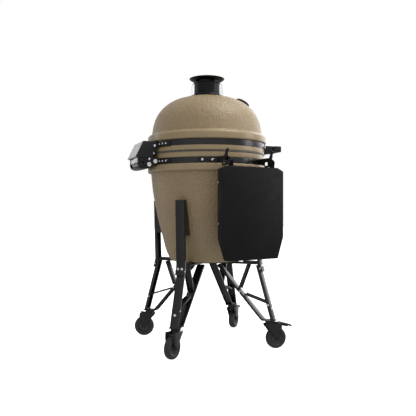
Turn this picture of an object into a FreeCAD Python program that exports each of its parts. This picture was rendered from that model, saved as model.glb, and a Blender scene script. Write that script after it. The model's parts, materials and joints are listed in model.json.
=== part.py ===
import FreeCAD, Part
import math
import os
from FreeCAD import Vector as V

os.makedirs("parts", exist_ok=True)

# A kamado ceramic grill: an egg-shaped two-part ceramic shell clamped in steel bands, with a rear
# hinge, a front handle, two folding side tables and a four-legged trussed stand on swivel castors.
# Frame: millimetres, +Z up, floor at z = 0, shell axis at x = y = 0.  The front (handle) is -Y, the
# rear (hinge) is +Y, and the two side tables are on -X (left) and +X (right).

# ---- driving dimensions -----------------------------------------------------------------------
COLLAR_R = 290.0          # the thick glazed collars above and below the seam
RIM_R = 281.0             # rims on both sides of the seam
GROOVE_R = 278.5          # seat of the steel bands
BAND_R = 282.0            # outer face of the steel bands
SEAM_Z = 917.0            # where lid and bowl meet
BOWL_BOTTOM_Z = 406.0
REACH_Y = 379.0           # handle and hinge both reach this far from the axis

BOWL_BAND_Z = (862.0, 889.0)
LID_BAND_Z = (944.0, 971.0)
SHEET = 3.0               # steel sheet of brackets and stand

HINGE_PIVOT = (316.0, 861.0)        # y, z
HINGE_PIN_R = 5.0
RUN_GAP = 0.05                      # radial clearance of every running fit
HOOD_X = 88.0                       # inner face of the hood's side plates
BRACKET_X = 83.0                    # inner face of the lower bracket's side plates
BRACKET_T = 4.0                     # their thickness
ARM_X = 74.0                        # inner face of the lid arms
SPRING_AXIS = (342.5, 869.5)        # y, z
SPRING_R = 18.0
SPRING_WIRE_R = 2.6
SPRING_PITCH = 30.0
SPRING_TURNS = 4

CHIMNEY_TUBE_R = 62.5
CHIMNEY_BORE_R = 51.0
CHIMNEY_VENT_Z = (1276.5, 1286.0)
CHIMNEY_TOP_Z = 1312.0

TABLE_TURN = 13.8                   # each table's centre lies this far forward of the side axis
TABLE_FACE_U = 374.0                # table face, from the shell axis
TABLE_HALF = 168.0
TABLE_Z = (432.0, 841.0)
TABLE_DEPTH = 42.5
TABLE_PIVOT = (356.0, 863.0)        # distance from the shell axis, z
EAR_V = 113.0
LATCH_PIVOT = (331.0, 877.0)        # distance from the shell axis, z
LATCH_PIN_R = 3.0

CORNERS = {"rear_left": 135.0, "rear_right": 45.0, "front_left": 225.0, "front_right": 315.0}
CASTOR_YAW = {"rear_left": 130.7, "rear_right": 68.0, "front_left": -92.3, "front_right": -41.2}
BRAKED = ("front_left", "front_right")
STEM_U = 327.0
WHEEL_R = 50.0
TRAIL = 29.0
AXLE_R = 5.0
PEDAL_PIVOT = (42.0, 115.5)          # distance behind the stem, z
PEDAL_PIN_R = 3.0

# ---- helpers ------------------------------------------------------------------------------------


def save(name, shape):
    if not shape.isValid():
        print("INVALID", name)
    shape.exportStep("parts/" + name + ".step")
    print(name, len(shape.Solids), round(shape.Volume / 1000.0, 1))


def box(x0, x1, y0, y1, z0, z1):
    return Part.makeBox(x1 - x0, y1 - y0, z1 - z0, V(x0, y0, z0))


def rod(start, end, radius):
    axis = V(*end) - V(*start)
    return Part.makeCylinder(radius, axis.Length, V(*start), axis)


def ring(r0, r1, z0, z1):
    outer = Part.makeCylinder(r1, z1 - z0, V(0, 0, z0))
    return outer.cut(Part.makeCylinder(r0, z1 - z0, V(0, 0, z0)))


def polygon(points):
    return Part.makePolygon([V(*p) for p in points] + [V(*points[0])])


def turned(points):
    """A solid of revolution about Z from a closed (r, z) outline."""
    face = Part.Face(polygon([(r, 0, z) for r, z in points]))
    return face.revolve(V(0, 0, 0), V(0, 0, 1), 360)


def side_plate(points, x0, x1):
    """A flat plate with a (y, z) outline between x0 and x1."""
    face = Part.Face(polygon([(x0, y, z) for y, z in points]))
    return face.extrude(V(x1 - x0, 0, 0))


def both_sides(points, x0, x1):
    return [side_plate(points, x0, x1), side_plate(points, -x1, -x0)]


def sector(r0, r1, z0, z1, mid, half):
    """A curved plate centred on azimuth mid, in degrees, reaching half to each side."""
    outer = Part.makeCylinder(r1, z1 - z0, V(0, 0, z0), V(0, 0, 1), 2 * half)
    plate = outer.cut(Part.makeCylinder(r0, z1 - z0, V(0, 0, z0))) if r0 > 0 else outer
    plate.rotate(V(0, 0, 0), V(0, 0, 1), mid - half)
    return plate


def united(shapes):
    whole = shapes[0].multiFuse(shapes[1:]) if len(shapes) > 1 else shapes[0]
    return whole.removeSplitter()


def around(shape, azimuth):
    """A piece built along +X, turned to the given azimuth about the shell axis."""
    copy = shape.copy()
    copy.rotate(V(0, 0, 0), V(0, 0, 1), azimuth)
    return copy


def dome_bolt(point, direction, radius, height):
    """A round-headed bolt whose head sits on point and stands out along direction."""
    profile = [(0, 0), (radius, 0), (radius, height * 0.35), (radius * 0.86, height * 0.72),
               (radius * 0.5, height * 0.95), (0, height)]
    head = turned(profile)
    head.Placement = FreeCAD.Placement(V(*point), FreeCAD.Rotation(V(0, 0, 1), V(*direction)))
    return head


def socket_bolt(point, direction, radius, height):
    """A cap-head bolt with a hexagonal socket."""
    head = Part.makeCylinder(radius, height)
    hexagon = [(radius * 0.42 * math.cos(math.radians(60 * k)),
                radius * 0.42 * math.sin(math.radians(60 * k)), height * 0.45) for k in range(6)]
    socket = Part.Face(polygon(hexagon)).extrude(V(0, 0, height))
    head = head.cut(socket)
    head.Placement = FreeCAD.Placement(V(*point), FreeCAD.Rotation(V(0, 0, 1), V(*direction)))
    return head


def band_bolt(azimuth, z, radius, surface_r):
    a = math.radians(azimuth)
    out = (math.cos(a), math.sin(a), 0)
    return dome_bolt((surface_r * out[0], surface_r * out[1], z), out, radius, radius * 0.75)


# ---- ceramic shell ------------------------------------------------------------------------------

BOWL_SIDE = [(185, 416), (201, 453), (216, 508), (230, 562), (245, 626), (259.5, 699), (270, 773),
             (275, 829)]
DOME_R, DOME_RISE, DOME_FOOT_Z = 268.35, 195.6, 1011.9
CHIMNEY_HOLE_R = 54.0


def spline_xz(points):
    curve = Part.BSplineCurve()
    curve.interpolate([V(r, 0, z) for r, z in points])
    return curve.toShape()


def line_xz(points):
    return [Part.makeLine(V(a[0], 0, a[1]), V(b[0], 0, b[1])) for a, b in zip(points, points[1:])]


def revolve_edges(edges):
    face = Part.Face(Part.Wire(Part.__sortEdges__(edges)))
    return face.revolve(V(0, 0, 0), V(0, 0, 1), 360)


def bowl_outside(offset):
    """The bowl's side surface, moved out by offset, as a filled solid from z 416 to z 829."""
    points = [(r + offset, z) for r, z in BOWL_SIDE]
    edges = [spline_xz(points)]
    edges += line_xz([points[-1], (0, points[-1][1]), (0, points[0][1]), points[0]])
    return revolve_edges(edges)


def dome_points(radius, rise, foot, end_r, count):
    """Points up a superelliptic dome from its foot to radius end_r."""
    points = []
    for k in range(count):
        t = k / (count - 1.0)
        r = radius - (radius - end_r) * (1 - (1 - t) ** 1.8)
        cosine = min(1.0, (r / radius) ** 1.362)
        sine = math.sqrt(max(0.0, 1 - cosine * cosine))
        points.append((r, foot + rise * sine ** 0.919))
    return points


def ceramic_bowl():
    edges = [spline_xz(BOWL_SIDE)]
    edges += line_xz([(275, 829), (287, 829), (COLLAR_R, 833), (COLLAR_R, 857), (287, 861),
                      (GROOVE_R, 861),
                      (GROOVE_R, 890), (RIM_R, 890), (RIM_R, 912), (279, 914), (255, 914), (253, 910)])
    inside = [(253, 910), (247, 829), (243, 773), (233, 699), (205, 562), (183, 490), (160, 444),
              (140, 436)]
    edges.append(spline_xz(inside))
    edges += line_xz([(140, 436), (0, 436), (0, BOWL_BOTTOM_Z), (172, BOWL_BOTTOM_Z)])
    corner = Part.Arc(V(172, 0, BOWL_BOTTOM_Z), V(180.5, 0, 409), V(185, 0, 416))
    edges.append(corner.toShape())
    bowl = revolve_edges(edges)
    draft = box(-52, 52, -260, -120, DOOR_Z[0] + 6, DOOR_Z[1] - 6)
    return bowl.cut(draft)


def lid_dome():
    outer = dome_points(DOME_R, DOME_RISE, DOME_FOOT_Z, CHIMNEY_HOLE_R, 9)
    outer[0] = (270.5, 1015)
    inner = dome_points(245.0, 178.0, 1000.0, CHIMNEY_HOLE_R, 9)
    edges = [spline_xz(outer), spline_xz(inner)]
    edges += line_xz([outer[-1], (CHIMNEY_HOLE_R, inner[-1][1])])
    edges += line_xz([outer[0], (282, 1009), (COLLAR_R, 1003), (COLLAR_R, 975), (287, 972),
                      (GROOVE_R, 972), (GROOVE_R, 943), (RIM_R, 943), (RIM_R, 922), (279, 920),
                      (255, 920), (252, 924), inner[0]])
    lid = revolve_edges(edges)
    return lid.cut(thermometer_solid(Part.makeCylinder(5.5, 80, V(0, 0, -50))))


def seam_gasket(side):
    """The gasket on the bowl's rim (side -1) or the lid's (side 1)."""
    near, far = sorted([SEAM_Z + side * 0.2, SEAM_Z + side * 3.0])
    return ring(257, 283, near, far)


def steel_band(z_range):
    return ring(GROOVE_R + 0.1, BAND_R, z_range[0], z_range[1])


# ---- inner ceramics and grates ------------------------------------------------------------------


def fire_box():
    wall = turned([(118, 438), (148, 438), (204, 618), (186, 618), (150, 484), (118, 484)])
    vent = box(-45, 45, -230, -90, 446, 476)
    return wall.cut(vent)


def fire_ring():
    return turned([(188, 618.5), (206, 618.5), (226, 700), (231, 764), (214, 764), (206, 700)])


def charcoal_grate():
    plate = Part.makeCylinder(132, 6, V(0, 0, 484.2))
    slots = []
    for k in range(-4, 5):
        half = math.sqrt(112.0 ** 2 - (k * 24.0) ** 2)
        slots.append(box(-half, half, k * 24.0 - 6, k * 24.0 + 6, 480, 495))
    return plate.cut(Part.makeCompound(slots))


def cooking_grate():
    rim = ring(221, 227, 765, 771)
    bars = [rim]
    for k in range(-10, 11):
        half = math.sqrt(223.0 ** 2 - (k * 20.0) ** 2)
        bars.append(rod((-half, k * 20.0, 768), (half, k * 20.0, 768), 2.6))
    bars.append(box(-3, 3, -223, 223, 765.2, 766.6))
    return united(bars)


# ---- draft door ---------------------------------------------------------------------------------

DOOR_Z = (450.0, 504.0)
DOOR_HALF = 17.0                    # degrees
FRAME_MID, FRAME_HALF = -72.0, 40.0
FRONT = -90.0


def bowl_shell(inner, outer, z0, z1, mid, half):
    shell = bowl_outside(outer).cut(bowl_outside(inner))
    return shell.common(sector(0, 300, z0, z1, mid, half))


def draft_frame():
    low = bowl_shell(0.3, 8.0, DOOR_Z[0] - 10, DOOR_Z[0] - 0.4, FRAME_MID, FRAME_HALF)
    high = bowl_shell(0.3, 8.0, DOOR_Z[1] + 0.4, DOOR_Z[1] + 10, FRAME_MID, FRAME_HALF)
    end_a = bowl_shell(0.3, 8.0, DOOR_Z[0] - 10, DOOR_Z[1] + 10, FRAME_MID - FRAME_HALF + 1, 1.0)
    end_b = bowl_shell(0.3, 8.0, DOOR_Z[0] - 10, DOOR_Z[1] + 10, FRAME_MID + FRAME_HALF - 1, 1.0)
    return united([low, high, end_a, end_b])


def draft_door():
    leaf = bowl_shell(2.0, 4.5, DOOR_Z[0], DOOR_Z[1], FRONT, DOOR_HALF)
    knob_z = 477.0
    knob = rod((0, -211, knob_z), (0, -228, knob_z), 5)
    cap = rod((0, -226, knob_z), (0, -236, knob_z), 10)
    return united([leaf, knob, cap])


# ---- rear hinge ---------------------------------------------------------------------------------

HOOD_SIDE = [(271, 941), (271, 968), (343, 968), (REACH_Y, 896), (371, 893), (320, 893), (300, 902),
             (287, 905), (284, 925)]
BRACKET_SIDE = [(271, 889), (282, 893), (367.5, 893), (367.5, 862), (361, 850), (345, 845), (329, 844),
                (295, 850), (286, 862), (271, 862)]
WING_HALF = 34.0
GUARD_Y = 365.5
REAR = 90.0
BOLT_ANGLES = (19.6, 24.2, 28.8)


def hinge_hood():
    pieces = both_sides(HOOD_SIDE, HOOD_X, HOOD_X + SHEET)
    pieces.append(box(-HOOD_X - 0.5, HOOD_X + 0.5, 276, 341, 965, 968))
    pieces.append(sector(BAND_R + 0.2, BAND_R + SHEET, 941, 968, REAR, WING_HALF))
    for side in (1, -1):
        x0 = ARM_X if side > 0 else -ARM_X - SHEET - 1
        x1 = x0 + SHEET + 1
        pieces.append(box(x0, x1, 305, 327, 861, 966))
        pieces.append(rod((x0, HINGE_PIVOT[0], HINGE_PIVOT[1]), (x1, HINGE_PIVOT[0], HINGE_PIVOT[1]), 11))
    hood = united(pieces).cut(Part.makeCylinder(BAND_R + 0.2, 100, V(0, 0, 890)))
    return hood.cut(rod((-90, *HINGE_PIVOT), (90, *HINGE_PIVOT), HINGE_PIN_R + RUN_GAP))


def hinge_cover():
    outline = [(342, 968), (344.2, 968), (REACH_Y, 897), (375, 893.5), (368.6, 893.5), (369.4, 895.5),
               (373, 896.2), (341.5, 965)]
    return side_plate(outline, -HOOD_X + 0.3, HOOD_X - 0.3)


def hinge_bracket():
    pieces = both_sides(BRACKET_SIDE, BRACKET_X, BRACKET_X + BRACKET_T)
    pieces.append(sector(BAND_R + 0.2, BAND_R + SHEET, 863, 888, REAR, WING_HALF))
    tray = [(300, 848), (327, 841.5), (346, 841), (362, 847), (366, 851), (362.5, 853), (345.5, 846),
            (327.5, 845.5), (300, 852)]
    pieces.append(side_plate(tray, -BRACKET_X - 0.5, BRACKET_X + 0.5))
    cheek = [(331, 842.5), (346, 842), (353, 846), (356, 866), (GUARD_Y, 871), (GUARD_Y, 888), (347, 880),
             (338, 880), (332, 874)]
    pieces += both_sides(cheek, 64, 66.5)
    bracket = united(pieces)
    bracket = bracket.cut(rod((-90, *HINGE_PIVOT), (90, *HINGE_PIVOT), HINGE_PIN_R + 0.02))
    return bracket.cut(rod((-90, *SPRING_AXIS), (90, *SPRING_AXIS), 4.05))


def spring_guard():
    """A polished strip behind the coil, on the cheeks, with room beside it for the lid arms."""
    half = ARM_X - 0.7
    return box(-half, half, GUARD_Y, GUARD_Y + 2, 869, 892.5)


def hinge_pin():
    edge = BRACKET_X + BRACKET_T
    return rod((-edge, *HINGE_PIVOT), (edge, *HINGE_PIVOT), HINGE_PIN_R)


def hinge_spring():
    length = SPRING_PITCH * SPRING_TURNS
    helix = Part.makeHelix(SPRING_PITCH, length, SPRING_R)
    circle = Part.Wire(Part.makeCircle(SPRING_WIRE_R, V(SPRING_R, 0, 0), V(0, 1, SPRING_PITCH / 120.0)))
    spring = Part.Wire(helix.Edges).makePipeShell([circle], True, True)
    spring.Placement = FreeCAD.Placement(V(-length / 2, *SPRING_AXIS),
                                         FreeCAD.Rotation(V(0, 0, 1), V(1, 0, 0)))
    return spring


def spring_rod():
    return rod((-69, *SPRING_AXIS), (69, *SPRING_AXIS), 4.0)


# ---- handle -------------------------------------------------------------------------------------

HANDLE_HALF = 62.0
HANDLE_Z = (943.0, 973.0)


def handle_brackets():
    outline = [(-275, 925), (-294, 928), (-312, 941), (-356, 943), (-356, 969), (-337.5, 969),
               (-337.5, 973),
               (-296, 973), (-292, 970), (-275, 970)]
    plates = []
    for side in (1, -1):
        x0 = HANDLE_HALF - 9 if side > 0 else -HANDLE_HALF + 5
        arm = side_plate(outline, x0, x0 + 4)
        arm = arm.cut(Part.makeCylinder(BAND_R + 0.2, 80, V(0, 0, 900)))
        wing = sector(BAND_R + 0.2, BAND_R + SHEET, 946, 969, -90 + side * 18.5, 6.5)
        arm = arm.fuse(wing).removeSplitter()
        plates.append(arm)
    return Part.makeCompound(plates)


def handle_bar():
    z0, z1 = HANDLE_Z
    bar = box(-HANDLE_HALF, HANDLE_HALF, -REACH_Y, -338, z0, z1)
    bar = bar.makeFillet(6, [e for e in bar.Edges if abs(e.tangentAt(e.FirstParameter).x) > 0.9])
    for side in (1, -1):
        x0 = HANDLE_HALF - 9.2 if side > 0 else -HANDLE_HALF + 4.8
        bar = bar.cut(box(x0, x0 + 4.4, -356.2, -330, z0 - 1, z1 - 3.8))
    return bar


# ---- thermometer --------------------------------------------------------------------------------

DIAL_POINT = (0.0, -181.0, 1173.0)
DIAL_TILT = 60.0                    # the dial's normal above the horizon
DIAL_NORMAL = (0.0, -math.cos(math.radians(DIAL_TILT)), math.sin(math.radians(DIAL_TILT)))


def thermometer_solid(shape):
    shape.Placement = FreeCAD.Placement(V(*DIAL_POINT), FreeCAD.Rotation(V(0, 0, 1), V(*DIAL_NORMAL)))
    return shape


def thermometer_case():
    cup = turned([(0, 10), (30, 10), (36, 14), (37.5, 17), (37.5, 23), (36, 24.5), (33, 24.5), (33, 17),
                  (0, 17)])
    nut = Part.makeCylinder(11, 8, V(0, 0, 2))
    stem = Part.makeCylinder(3, 62, V(0, 0, -60))
    return thermometer_solid(united([cup, nut.fuse(stem)]))


def thermometer_dial():
    return thermometer_solid(Part.makeCylinder(32.8, 1.2, V(0, 0, 17.1)))


def thermometer_needle():
    boss = Part.makeCylinder(3.5, 1.6, V(0, 0, 19.0))
    pointer = Part.Face(polygon([(-2, -8, 19.4), (2, -8, 19.4), (0.6, 27, 19.4), (-0.6, 27, 19.4)]))
    return thermometer_solid(boss.fuse(pointer.extrude(V(0, 0, 0.8))).removeSplitter())


def thermometer_glass():
    return thermometer_solid(Part.makeCylinder(32.8, 1.6, V(0, 0, 21.8)))


# ---- chimney ------------------------------------------------------------------------------------


def chimney_base():
    return turned([(46, 1180), (52, 1180), (52, 1207.3), (79, 1206.0), (79, 1212.5), (74, 1213.6),
                   (64, 1214), (46, 1214)])


def vent_windows(radius, z0, z1):
    """Six window cutters, each spanning 26 degrees."""
    return Part.makeCompound([sector(30, radius, z0, z1, 60 * k, 13.0) for k in range(6)])


def chimney_tube():
    collar_r = 65.8
    tube = turned([(CHIMNEY_BORE_R, 1214), (65.5, 1214), (63.5, 1219), (CHIMNEY_TUBE_R, 1226),
                   (CHIMNEY_TUBE_R, 1271), (collar_r, 1275), (collar_r, 1290), (CHIMNEY_BORE_R, 1290)])
    return tube.cut(vent_windows(80, *CHIMNEY_VENT_Z))


def chimney_cap():
    """A mushroom cap with an inner damper sleeve whose windows meet the tube's when turned."""
    hat = turned([(0, 1290.3), (66.4, 1290.3), (66.4, 1284.5), (69, 1284.5), (84, 1293.5), (86.5, 1296),
                  (86.5, 1297.6),
                  (80, 1299.5), (58, 1303.3), (30, 1308.5), (12, 1311.2), (0, CHIMNEY_TOP_Z)])
    sleeve = ring(44.0, 50.5, 1268, 1295.5)
    sleeve = sleeve.cut(around(vent_windows(80, *CHIMNEY_VENT_Z), 30))
    return united([hat, sleeve])


def strip(points, thickness, width):
    """A flat bent strip along (r, z) points, built along +X and centred on y = 0."""
    pieces = []
    for (r0, z0), (r1, z1) in zip(points, points[1:]):
        length = math.hypot(r1 - r0, z1 - z0)
        nr, nz = (z1 - z0) / length * thickness, -(r1 - r0) / length * thickness
        corners = [(r0, z0), (r1, z1), (r1 + nr, z1 + nz), (r0 + nr, z0 + nz)]
        face = Part.Face(polygon([(r, -width / 2, z) for r, z in corners]))
        pieces.append(face.extrude(V(0, width, 0)))
        pieces.append(rod((r1 + nr / 2, -width / 2, z1 + nz / 2), (r1 + nr / 2, width / 2, z1 + nz / 2),
                          thickness / 2))
    return united(pieces)


def chimney_clips():
    """Two sprung bails that hold the tube down on its base."""
    clips = []
    for azimuth in (70.0, 250.0):
        outer = strip([(79, 1215.6), (77.5, 1218), (75.5, 1238), (74, 1260), (71.5, 1269), (67, 1272)],
                      1.6, 14)
        inner = strip([(70, 1215.4), (69, 1236), (68, 1262)], 1.4, 10)
        foot = box(68, 80, -9, 9, 1214.1, 1215.8)
        clips.append(around(united([outer, inner, foot]), azimuth))
    return Part.makeCompound(clips)


# ---- side tables --------------------------------------------------------------------------------
# Built along +X: u is the distance from the shell axis, v the distance along the table.


def table_azimuth(side):
    return 180.0 + TABLE_TURN if side == "left" else -TABLE_TURN


def table_outline(inset):
    z0, z1 = TABLE_Z
    h = TABLE_HALF - inset
    return [(-h + 33, z0 + inset), (h - 33, z0 + inset), (h, 528), (h, 826), (h - 33, z1 - inset),
            (-h + 33, z1 - inset), (-h, 826), (-h, 528)]


def slab(outline, u0, u1):
    face = Part.Face(polygon([(u0, v, z) for v, z in outline]))
    return face.extrude(V(u1 - u0, 0, 0))


def side_table():
    skin = 2.0
    tray = slab(table_outline(0), TABLE_FACE_U - TABLE_DEPTH, TABLE_FACE_U)
    tray = tray.cut(slab(table_outline(skin), TABLE_FACE_U - TABLE_DEPTH - 1, TABLE_FACE_U - skin))
    pieces = [tray]
    pu, pz = TABLE_PIVOT
    ear = [(TABLE_FACE_U - skin, 790), (TABLE_FACE_U - skin, pz), (pu - 16, pz), (pu - 16, 790)]
    for side in (1, -1):
        v0 = EAR_V if side > 0 else -EAR_V - 4
        plate = Part.Face(polygon([(u, v0, z) for u, z in ear])).extrude(V(0, 4, 0))
        crown = rod((pu, v0, pz), (pu, v0 + 4, pz), 16)
        pieces.append(plate.fuse(crown))
    table = united(pieces)
    return table.cut(rod((pu, -200, pz), (pu, 200, pz), AXLE_R + RUN_GAP))


def table_bracket(side):
    """One of a table's two arms, bolted to the bowl band and carrying the pivot."""
    pu, pz = TABLE_PIVOT
    outline = [(252, 866), (258, 888), (322, 889), (340, 886), (pu, pz + 13), (pu, pz - 13), (330, 846),
               (300, 845),
               (296, 857), (274, 862)]
    v0 = EAR_V + 5 if side > 0 else -EAR_V - 5 - SHEET
    arm = Part.Face(polygon([(u, v0, z) for u, z in outline])).extrude(V(0, SHEET, 0))
    nose = rod((pu, v0, pz), (pu, v0 + SHEET, pz), 13)
    wing = sector(BAND_R + 0.2, BAND_R + SHEET, 863.5, 887.5, side * 33.5, 9.0)
    bracket = united([arm, nose, wing])
    bracket = bracket.cut(Part.makeCylinder(BAND_R + 0.2, 100, V(0, 0, 820)))
    bracket = bracket.cut(box(302, 322, v0 - 1, v0 + SHEET + 1, 855, 870))
    lu, lz = LATCH_PIVOT
    bracket = bracket.cut(rod((lu, -200, lz), (lu, 200, lz), LATCH_PIN_R + 0.02))
    return bracket.cut(rod((pu, -200, pz), (pu, 200, pz), AXLE_R + 0.02))


def table_pin(side):
    """The shouldered pivot with its knob, and the small pin that carries the latch."""
    pu, pz = TABLE_PIVOT
    lu, lz = LATCH_PIVOT
    inner, outer = EAR_V - 4.0, EAR_V + 8.5
    shaft = rod((pu, side * inner, pz), (pu, side * outer, pz), AXLE_R)
    knob = rod((pu, side * outer, pz), (pu, side * (outer + 5), pz), 7.5)
    tip = EAR_V + 18.0
    pin = rod((lu, side * (EAR_V + 5), lz), (lu, side * tip, lz), LATCH_PIN_R)
    head = rod((lu, side * tip, lz), (lu, side * (tip + 2.5), lz), 5.0)
    return Part.makeCompound([united([shaft, knob]), united([pin, head])])


def table_latch(side):
    """A lever on the bracket's outside that tips out to lock the raised table."""
    lu, lz = LATCH_PIVOT
    wide = 9.0
    v0 = EAR_V + 8.5 if side > 0 else -EAR_V - 8.5 - wide
    outline = [(lu - 7, lz), (lu - 2, lz + 14), (lu + 8, lz + 33), (lu + 11, lz + 40), (lu + 19, lz + 42),
               (lu + 22, lz + 37), (lu + 16, lz + 31), (lu + 12, lz + 14), (lu + 7, lz)]
    lever = Part.Face(polygon([(u, v0, z) for u, z in outline])).extrude(V(0, wide, 0))
    lever = lever.cut(rod((lu + 15, v0 - 1, lz + 24), (lu + 15, v0 + wide + 1, lz + 24), 3.0))
    hub = rod((lu, v0, lz), (lu, v0 + wide, lz), 7.5)
    latch = united([lever, hub])
    return latch.cut(rod((lu, -200, lz), (lu, 200, lz), LATCH_PIN_R + RUN_GAP))


# ---- stand --------------------------------------------------------------------------------------
# Each corner is one truss in the plane through the shell axis, built along +X (u outwards).

POST_W, LEG_W, WEB_W, DIAGONAL_W = 44.0, 37.6, 32.0, 38.0
CASTOR_PLATE_Z = (131.0, 135.0)
POST_FOOT_U = 282.0
LEG_TOP, LEG_FOOT = (276.0, 393.0), (349.0, 137.0)


def channel(start, end, width, depth, sheet=2.5):
    """A folded channel whose web faces out along the line from start to end, (u, z) points."""
    du, dz = end[0] - start[0], end[1] - start[1]
    length = math.hypot(du, dz)
    body = box(-depth, 0, -width / 2, width / 2, 0, length)
    hollow = box(-depth - 1, -sheet, -width / 2 + sheet, width / 2 - sheet, -1, length + 1)
    piece = body.cut(hollow)
    angle = math.degrees(math.atan2(du, dz))
    piece.rotate(V(0, 0, 0), V(0, 1, 0), angle)
    piece.translate(V(start[0], 0, start[1]))
    return piece


def corner_post():
    """The upright: a channel that widens into fins bearing on the bowl, its foot bent along the leg."""
    web = Part.Face(polygon([(282, -22, 402), (290, -22, 696), (287.5, -22, 696), (279.5, -22, 402)]))
    web = web.extrude(V(0, POST_W, 0))
    side = [(282, 402), (290, 696), (268, 696), (231, 535), (274, 535), (270, 402)]
    flanges = []
    for v0 in (-22.0, 19.5):
        flanges.append(Part.Face(polygon([(u, v0, z) for u, z in side])).extrude(V(0, 2.5, 0)))
    slope = (LEG_FOOT[0] - LEG_TOP[0]) / (LEG_FOOT[1] - LEG_TOP[1])
    tab = [(282, 402), (282 + slope * -43, 359), (269 + slope * -43, 359), (270, 402)]
    plate = Part.Face(polygon([(282, -22, 402), (tab[1][0], -22, 359), (tab[1][0] - 2.6, -22, 359),
                               (279.4, -22, 402)])).extrude(V(0, POST_W, 0))
    for v0 in (-22.0, 19.5):
        flanges.append(Part.Face(polygon([(u, v0, z) for u, z in tab])).extrude(V(0, 2.5, 0)))
    return united([web, plate] + flanges)


def on_castor_plate(member):
    """Trims a member's foot flat where it stands on the castor plate."""
    return member.cut(box(200, 400, -40, 40, 100, CASTOR_PLATE_Z[1]))


def outer_leg():
    return on_castor_plate(channel(LEG_FOOT, LEG_TOP, LEG_W, 14))


def top_link():
    """A radial channel under the bowl, with the raised stop that keeps the bowl centred."""
    stop = box(196, 268, -14, 14, 400.5, 408.5)
    return united([channel((268, 401), (84, 401), WEB_W, 8), stop])


def inner_strut():
    return channel((216, 392.5), (172, 276), WEB_W, 12)


def long_diagonal():
    return on_castor_plate(channel((296, 137), (70, 388), DIAGONAL_W, 10))


def cross_brace():
    return channel((203, 246), (318, 210), 30, 9)


def support_plate():
    plate = Part.makeCylinder(163, 4.5, V(0, 0, 401.2))
    cuts = [Part.makeCylinder(30, 20, V(0, 0, 395))]
    for k in range(4):
        cuts.append(around(Part.makeCylinder(22, 20, V(112, 0, 395)), 90.0 * k))
    return plate.cut(Part.makeCompound(cuts))


def castor_plate():
    plate = box(289, 354, -22, 22, *CASTOR_PLATE_Z)
    race = Part.makeCylinder(23, 9.6, V(STEM_U, 0, 121.6))
    return united([plate, race]).cut(Part.makeCylinder(6 + RUN_GAP, 40, V(STEM_U, 0, 100)))


# ---- castors ------------------------------------------------------------------------------------
# Built at the origin with the trail along +X.


def place_castor(shape, corner):
    azimuth = math.radians(CORNERS[corner])
    copy = shape.copy()
    copy.rotate(V(0, 0, 0), V(0, 0, 1), CASTOR_YAW[corner])
    copy.translate(V(STEM_U * math.cos(azimuth), STEM_U * math.sin(azimuth), 0))
    return copy


def castor_fork(braked):
    outline = [(-25, 118), (30, 118), (49, 121), (52, 106), (51, 84), (TRAIL + 11, 50), (TRAIL + 7, 42),
               (TRAIL - 7, 42),
               (TRAIL - 11, 50), (-14, 96), (-25, 108)]
    cheeks = []
    for v0 in (-22.0, 19.0):
        cheeks.append(Part.Face(polygon([(u, v0, z) for u, z in outline])).extrude(V(0, 3, 0)))
    crown = box(-25, 34, -20, 20, 107, 110)
    race = Part.makeCylinder(18.5, 11, V(0, 0, 110))
    stem = Part.makeCylinder(6, 24, V(0, 0, 110))
    axle = rod((TRAIL, -25, WHEEL_R), (TRAIL, 25, WHEEL_R), AXLE_R)
    pieces = cheeks + [crown, race, stem, axle]
    if braked:
        u, z = PEDAL_PIVOT
        pieces.append(rod((u, -20, z), (u, 20, z), PEDAL_PIN_R))
    return united(pieces)


def wheel_hub():
    half = 15.0
    hub = turned([(AXLE_R + RUN_GAP, -17), (11, -17), (12, -10), (28, -8), (34, -half), (36, -half),
                  (36, half),
                  (34, half), (28, 8), (12, 10), (11, 17), (AXLE_R + RUN_GAP, 17)])
    hub.rotate(V(0, 0, 0), V(1, 0, 0), 90)
    hub.translate(V(TRAIL, 0, WHEEL_R))
    return hub


def wheel_tyre():
    tyre = turned([(36, -15.5), (43, -15.5), (47, -13), (49.4, -8), (WHEEL_R, -3), (WHEEL_R, 3),
                   (49.4, 8),
                   (47, 13), (43, 15.5), (36, 15.5)])
    tyre.rotate(V(0, 0, 0), V(1, 0, 0), 90)
    tyre.translate(V(TRAIL, 0, WHEEL_R))
    return tyre


def brake_pedal():
    u, z = PEDAL_PIVOT
    outline = [(36, 111), (36, 120), (52, 122.5), (66, 120), (80, 114), (90, 113.5), (106, 107),
               (107, 103), (99, 100.5),
               (88, 104), (80, 100.5), (71, 103.5), (58, 106)]
    lever = Part.Face(polygon([(a, -16, b) for a, b in outline])).extrude(V(0, 32, 0))
    return lever.cut(rod((u, -30, z), (u, 30, z), PEDAL_PIN_R + RUN_GAP))


# ---- fasteners ----------------------------------------------------------------------------------


def plate_bolts(spots, x_face, maker, radius, height):
    bolts = []
    for y, z in spots:
        for side in (1, -1):
            bolts.append(maker((side * x_face, y, z), (side, 0, 0), radius, height))
    return bolts


def lid_bolts():
    bolts = [band_bolt(REAR + s * a, 955, 5.0, BAND_R + SHEET) for a in BOLT_ANGLES for s in (1, -1)]
    bolts += [band_bolt(-90 + s * a, 957, 5.0, BAND_R + SHEET) for a in (16.5, 21.5) for s in (1, -1)]
    bolts += plate_bolts([(290, 947)], HOOD_X + SHEET, dome_bolt, 6.5, 5.0)
    bolts += plate_bolts([(294, 912)], HOOD_X + SHEET, dome_bolt, 4.5, 4.0)
    return Part.makeCompound(bolts)


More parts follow.
